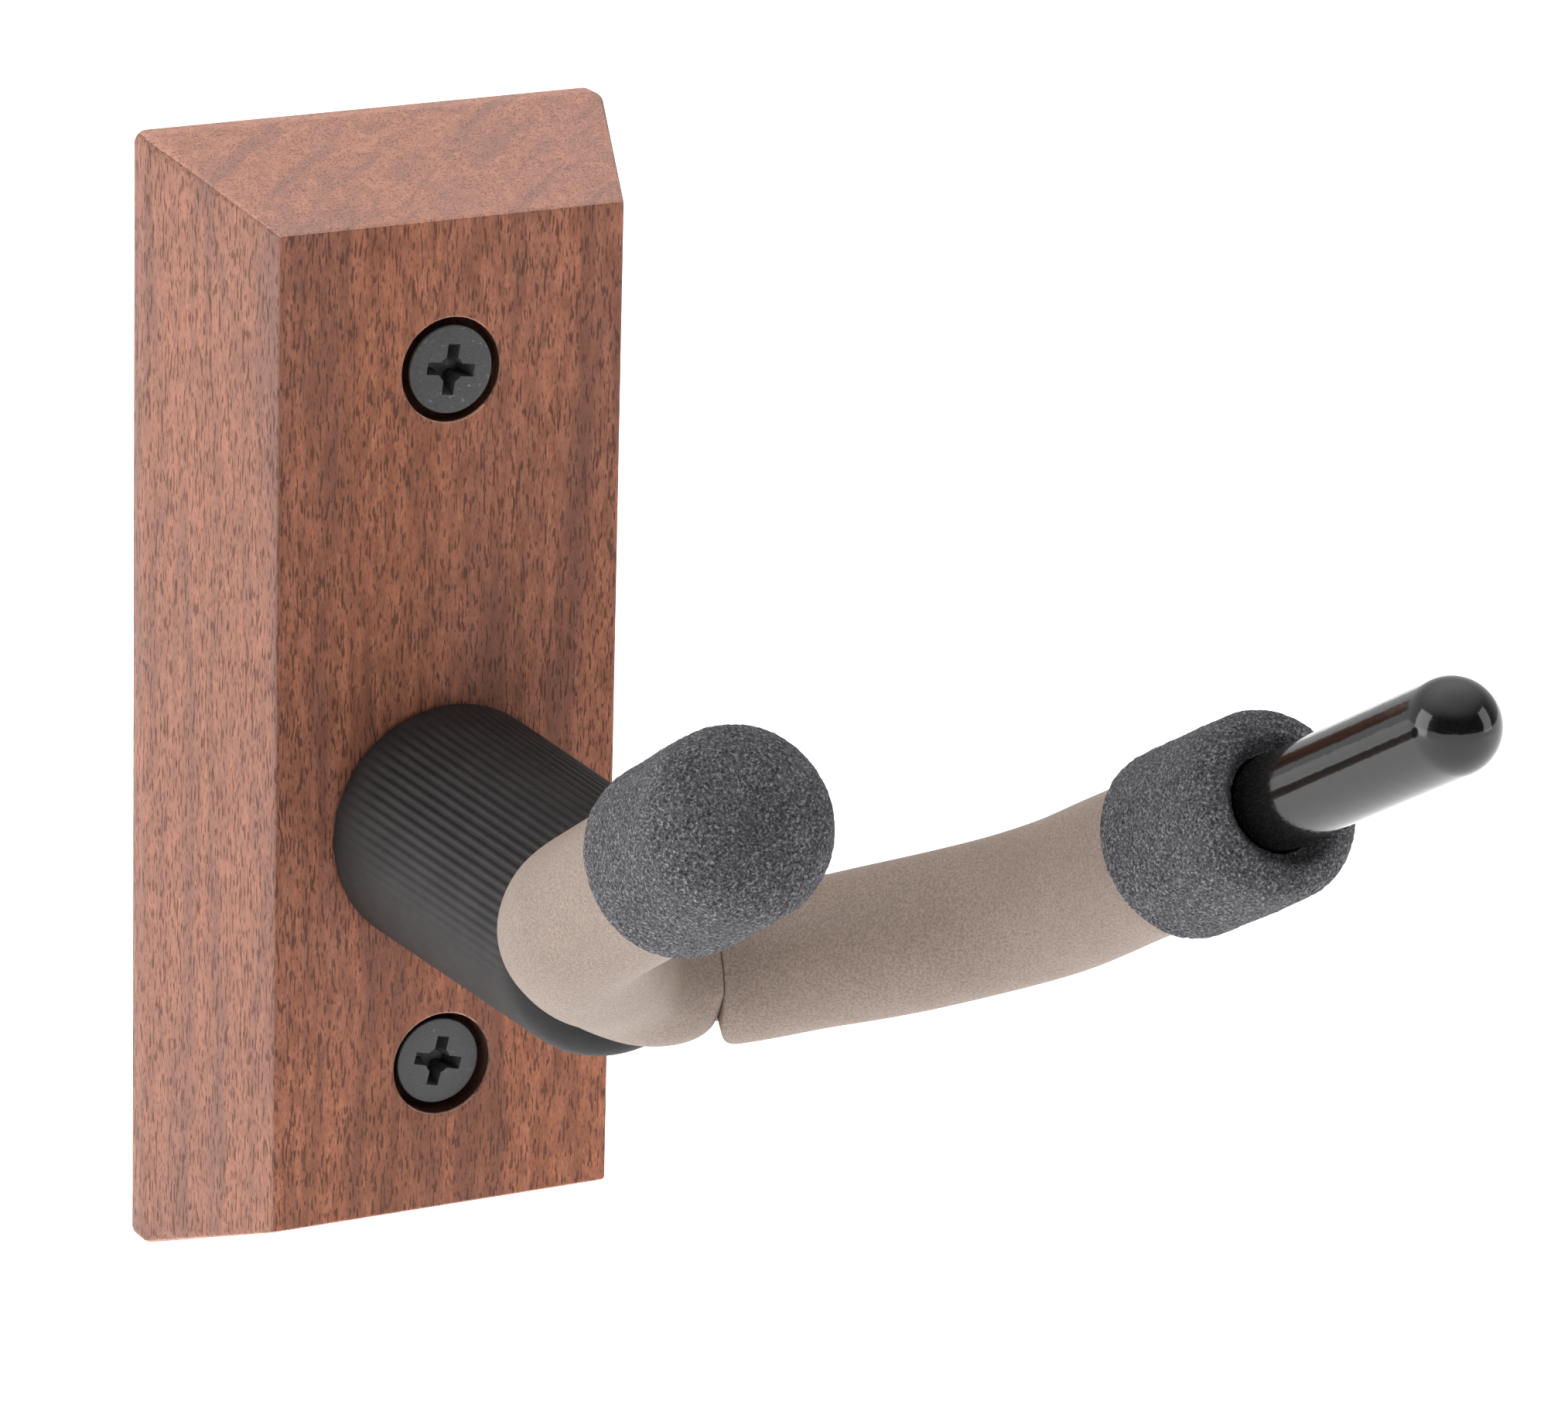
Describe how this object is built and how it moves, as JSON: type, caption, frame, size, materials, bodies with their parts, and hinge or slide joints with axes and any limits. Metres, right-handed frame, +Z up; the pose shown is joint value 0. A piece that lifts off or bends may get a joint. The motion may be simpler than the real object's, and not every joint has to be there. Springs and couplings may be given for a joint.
{
  "type": "wall instrument hanger",
  "caption": "Bevelled hardwood wall block with a ribbed stem and a swivelling padded steel yoke; one arm runs on as a bare coated peg.",
  "frame": {"origin": "centre of the wood block's back face, on the wall plane", "axes": "+Y into the wall, +Z up, +X to the right for someone facing the wall; the yoke stands out towards -Y"},
  "size_m": [0.067, 0.1788, 0.109],
  "materials": {
    "walnut": "satin",
    "black_screw": "matte",
    "black_steel": "satin",
    "zinc_steel": "satin",
    "nylon": "matte",
    "black_rubber": "matte",
    "tan_rubber": "matte",
    "charcoal_foam": "matte",
    "gloss_coating": "gloss"
  },
  "bodies": {
    "mount": {"wood_block": "walnut", "upper_mounting_screw": "black_screw", "lower_mounting_screw": "black_screw", "stem_bush": "nylon", "rear_washer": "zinc_steel"},
    "yoke": {"spring_washer": "zinc_steel", "lock_nut": "zinc_steel", "lock_nut_insert": "nylon", "thrust_washer": "zinc_steel", "stem_shaft": "black_steel", "stem_cover": "black_rubber", "yoke_rod": "black_steel", "left_arm_sleeve": "tan_rubber", "right_arm_sleeve": "tan_rubber", "left_foam_cap": "charcoal_foam", "right_foam_collar": "charcoal_foam", "peg_coating": "gloss_coating"}
  },
  "joints": [
    {"name": "yoke_swivel", "type": "hinge", "parent": "mount", "child": "yoke", "pos_m": [0, -0.01905, -0.01], "axis": [0, 1, 0], "continuous": true}
  ]
}
